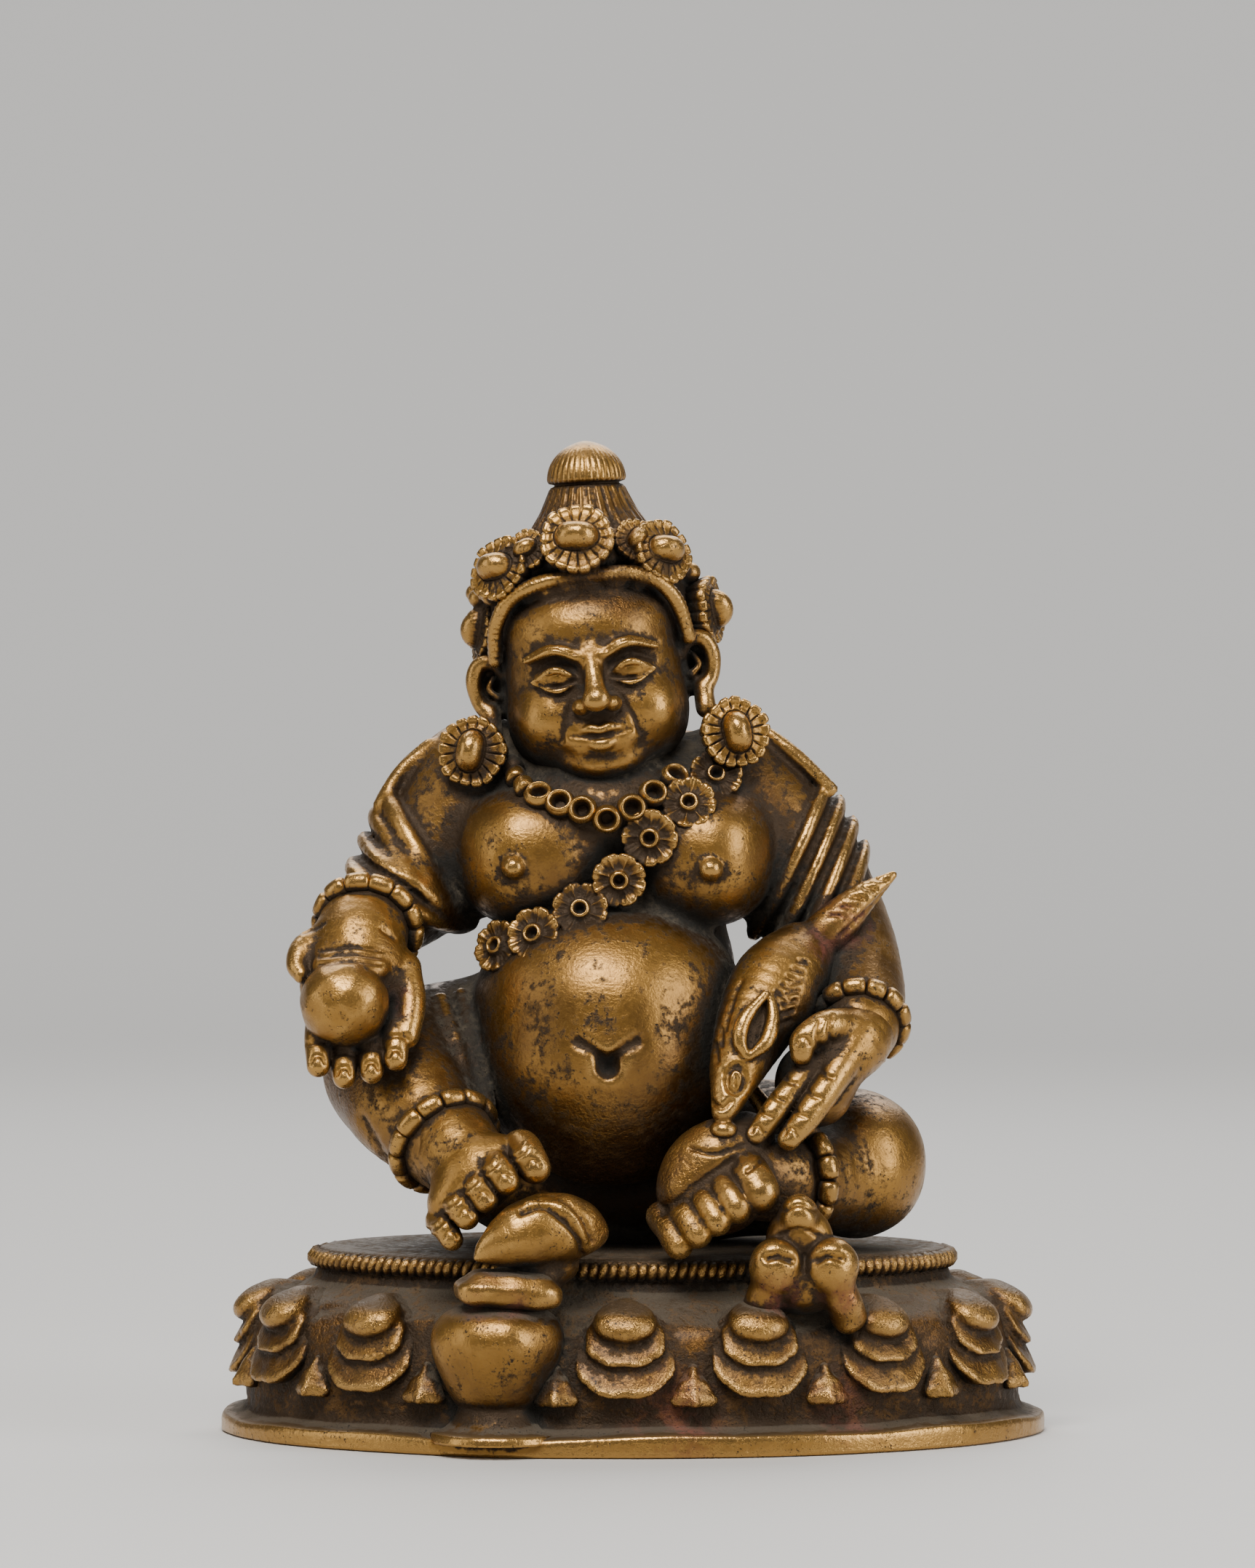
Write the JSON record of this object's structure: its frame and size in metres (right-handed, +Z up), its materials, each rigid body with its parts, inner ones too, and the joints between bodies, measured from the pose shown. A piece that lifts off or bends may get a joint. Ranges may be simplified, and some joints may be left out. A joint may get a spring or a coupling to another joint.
{
  "type": "seated jambhala statue",
  "caption": "Small cast brass figure of a seated, pot-bellied wealth deity with a mongoose and a citron, on an oval lotus base.",
  "frame": {"origin": "centre of the base's flat underside, on the surface that the statue stands on", "axes": "+Z up, -Y towards the front of the statue (the way it looks), +X to the right as seen from the front"},
  "size_m": [0.105, 0.0753, 0.125],
  "materials": {
    "patinated_brass": "worn cast brass with brown patina and dust in the recesses"
  },
  "bodies": {
    "root": {"jambhala_statue": "patinated_brass"}
  },
  "joints": []
}
